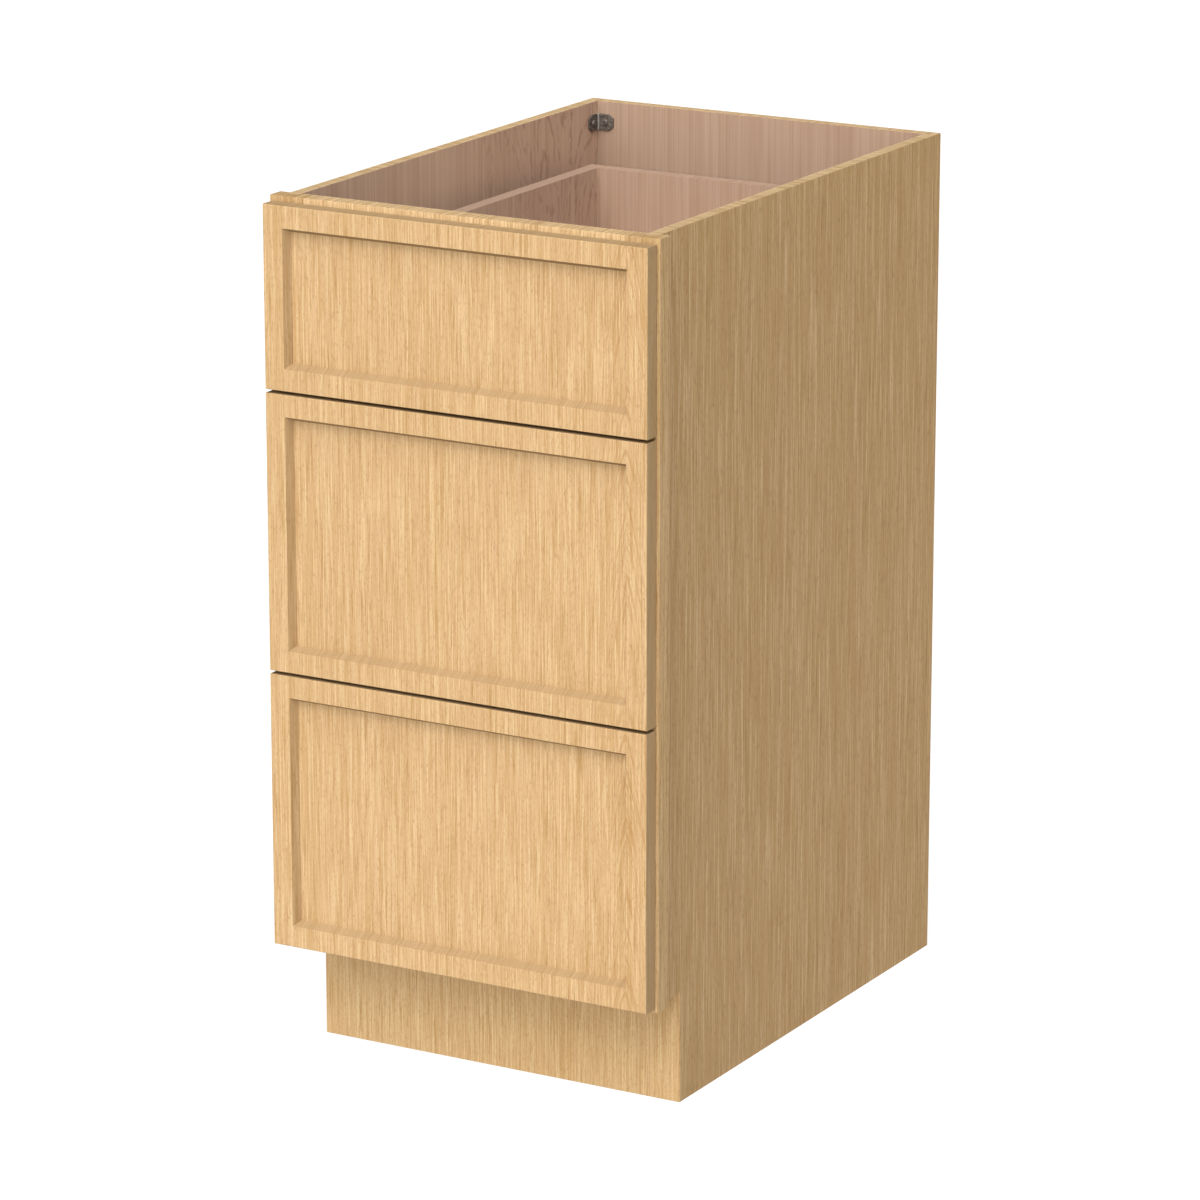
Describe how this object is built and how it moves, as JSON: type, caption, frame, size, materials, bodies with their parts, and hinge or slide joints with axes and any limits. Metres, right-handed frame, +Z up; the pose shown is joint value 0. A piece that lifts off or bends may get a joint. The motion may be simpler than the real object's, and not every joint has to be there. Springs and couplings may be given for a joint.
{
  "type": "base cabinet with drawers",
  "caption": "Face-frame base cabinet of stacked full-overlay drawers with recessed-panel fronts, open top, toe kick, dovetailed drawer boxes and full-extension undermount runners.",
  "frame": {"origin": "on the floor under the middle of the whole cabinet with its drawers shut", "axes": "+Z up, -Y out of the drawer fronts, +X to the right as seen from the front"},
  "size_m": [0.4318, 0.6286, 0.8763],
  "materials": {
    "oak_veneer": "clear satin lacquer",
    "maple_drawer_box": "clear satin lacquer",
    "galvanised_steel": "galvanised",
    "zinc_screws": "bright zinc",
    "bronze_steel": "dark bronze",
    "grey_nylon": "moulded",
    "clear_pads": "clear"
  },
  "bodies": {
    "cabinet": {"left_side_panel": "oak_veneer", "right_side_panel": "oak_veneer", "back_panel": "oak_veneer", "bottom_panel": "oak_veneer", "toe_kick_board": "oak_veneer", "toe_kick_facing": "oak_veneer", "face_frame_left_stile": "oak_veneer", "face_frame_right_stile": "oak_veneer", "face_frame_top_rail": "oak_veneer", "face_frame_upper_mid_rail": "oak_veneer", "face_frame_lower_mid_rail": "oak_veneer", "face_frame_bottom_rail": "oak_veneer", "drawer_bumpers": "clear_pads", "corner_brackets": "bronze_steel", "corner_bracket_screws": "zinc_screws", "runner_screws": "zinc_screws", "runner_rear_sockets": "grey_nylon", "top_runner_cabinet_members": "galvanised_steel", "middle_runner_cabinet_members": "galvanised_steel", "bottom_runner_cabinet_members": "galvanised_steel"},
    "top_runner_middles": {"top_runner_middle_members": "galvanised_steel"},
    "top_drawer": {"top_runner_drawer_members": "galvanised_steel", "top_drawer_locking_clips": "grey_nylon", "top_drawer_box_left_side": "maple_drawer_box", "top_drawer_box_right_side": "maple_drawer_box", "top_drawer_box_front": "maple_drawer_box", "top_drawer_box_back": "maple_drawer_box", "top_drawer_box_bottom": "maple_drawer_box", "top_drawer_front_stiles": "oak_veneer", "top_drawer_front_rails": "oak_veneer", "top_drawer_front_panel": "oak_veneer", "top_drawer_front_screws": "zinc_screws"},
    "middle_runner_middles": {"middle_runner_middle_members": "galvanised_steel"},
    "middle_drawer": {"middle_runner_drawer_members": "galvanised_steel", "middle_drawer_locking_clips": "grey_nylon", "middle_drawer_box_left_side": "maple_drawer_box", "middle_drawer_box_right_side": "maple_drawer_box", "middle_drawer_box_front": "maple_drawer_box", "middle_drawer_box_back": "maple_drawer_box", "middle_drawer_box_bottom": "maple_drawer_box", "middle_drawer_front_stiles": "oak_veneer", "middle_drawer_front_rails": "oak_veneer", "middle_drawer_front_panel": "oak_veneer", "middle_drawer_front_screws": "zinc_screws"},
    "bottom_runner_middles": {"bottom_runner_middle_members": "galvanised_steel"},
    "bottom_drawer": {"bottom_runner_drawer_members": "galvanised_steel", "bottom_drawer_locking_clips": "grey_nylon", "bottom_drawer_box_left_side": "maple_drawer_box", "bottom_drawer_box_right_side": "maple_drawer_box", "bottom_drawer_box_front": "maple_drawer_box", "bottom_drawer_box_back": "maple_drawer_box", "bottom_drawer_box_bottom": "maple_drawer_box", "bottom_drawer_front_stiles": "oak_veneer", "bottom_drawer_front_rails": "oak_veneer", "bottom_drawer_front_panel": "oak_veneer", "bottom_drawer_front_screws": "zinc_screws"}
  },
  "joints": [
    {"name": "top_drawer_slide", "type": "slide", "parent": "cabinet", "child": "top_drawer", "axis": [0, -1, 0], "range_m": [0, 0.53]},
    {"name": "top_runner_slide", "type": "slide", "parent": "cabinet", "child": "top_runner_middles", "axis": [0, -1, 0], "range_m": [0, 0.265]},
    {"name": "middle_drawer_slide", "type": "slide", "parent": "cabinet", "child": "middle_drawer", "axis": [0, -1, 0], "range_m": [0, 0.53]},
    {"name": "middle_runner_slide", "type": "slide", "parent": "cabinet", "child": "middle_runner_middles", "axis": [0, -1, 0], "range_m": [0, 0.265]},
    {"name": "bottom_drawer_slide", "type": "slide", "parent": "cabinet", "child": "bottom_drawer", "axis": [0, -1, 0], "range_m": [0, 0.53]},
    {"name": "bottom_runner_slide", "type": "slide", "parent": "cabinet", "child": "bottom_runner_middles", "axis": [0, -1, 0], "range_m": [0, 0.265]}
  ],
  "couplings": [
    {"joint": "top_runner_slide", "follows": "top_drawer_slide", "ratio": 0.5},
    {"joint": "middle_runner_slide", "follows": "middle_drawer_slide", "ratio": 0.5},
    {"joint": "bottom_runner_slide", "follows": "bottom_drawer_slide", "ratio": 0.5}
  ]
}
